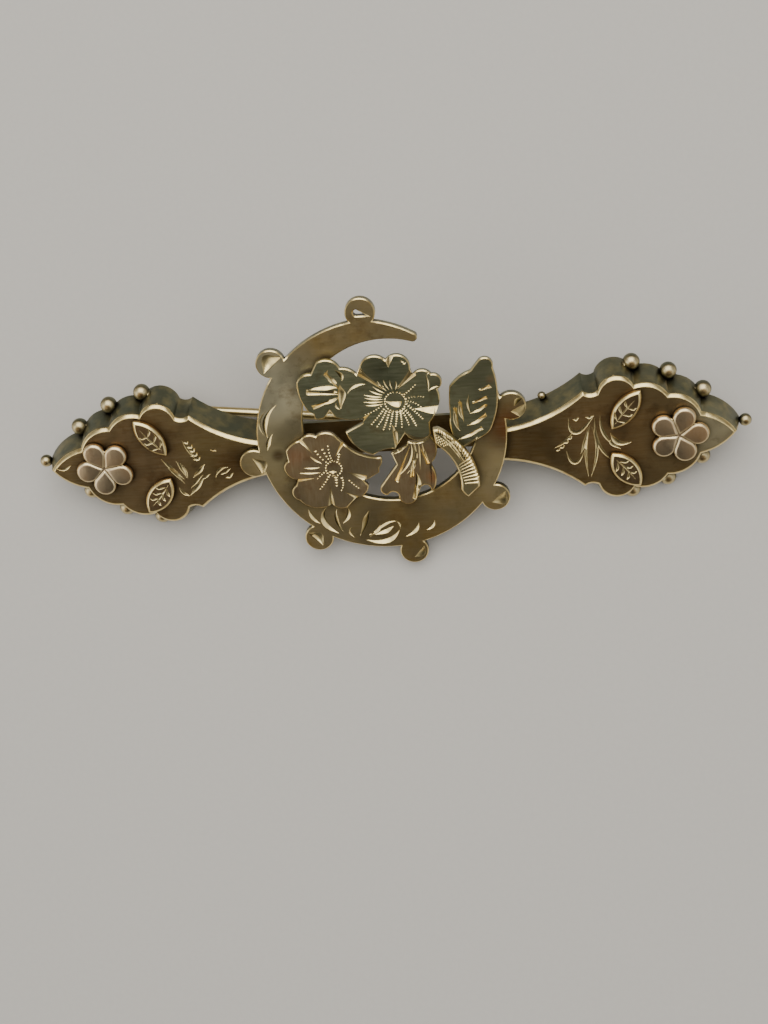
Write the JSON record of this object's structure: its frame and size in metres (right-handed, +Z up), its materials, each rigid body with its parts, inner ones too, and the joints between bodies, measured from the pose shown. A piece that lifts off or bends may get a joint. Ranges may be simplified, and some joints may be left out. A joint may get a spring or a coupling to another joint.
{
  "type": "bar brooch",
  "caption": "Victorian bar pin: two hollow scalloped ends joined by an open crescent with round lugs and an engraved spray of flowers, with a hinged pin and a hook behind.",
  "frame": {"origin": "centre of the bounding box's bottom face, on the surface that the brooch lies on, face up", "axes": "+X along the bar towards the end with the hook, +Z up, out of the face, which is tipped back by the lean at which the brooch rests, +Y towards the face's raised upper edge"},
  "size_m": [0.0526, 0.019, 0.0108],
  "materials": {
    "yellow_gold": "aged yellow rolled gold, softly brushed",
    "rose_gold": "aged rose gold sheet, softly brushed",
    "green_gold": "aged green gold sheet, finely brushed",
    "pin_metal": "plain drawn wire and sheet, gilded and worn"
  },
  "bodies": {
    "brooch": {"left_end": "yellow_gold", "right_end": "yellow_gold", "back_plate": "yellow_gold", "crescent": "yellow_gold", "lower_blossom": "rose_gold", "bell_bud": "rose_gold", "right_leaf": "green_gold", "upper_blossom": "green_gold", "curved_stem": "yellow_gold", "left_flower": "rose_gold", "right_flower": "rose_gold", "left_upper_leaf": "rose_gold", "left_lower_leaf": "rose_gold", "right_upper_leaf": "rose_gold", "right_lower_leaf": "rose_gold", "hinge_bracket": "pin_metal", "hinge_rivet": "pin_metal", "catch_hook": "pin_metal"},
    "pin": {"pin_stem": "pin_metal"}
  },
  "joints": [
    {"name": "pin_hinge", "type": "hinge", "parent": "brooch", "child": "pin", "pos_m": [-0.0167, 0.00319, 0.00115], "axis": [0, 0.8873, 0.4613], "range_deg": [0, 90]}
  ]
}
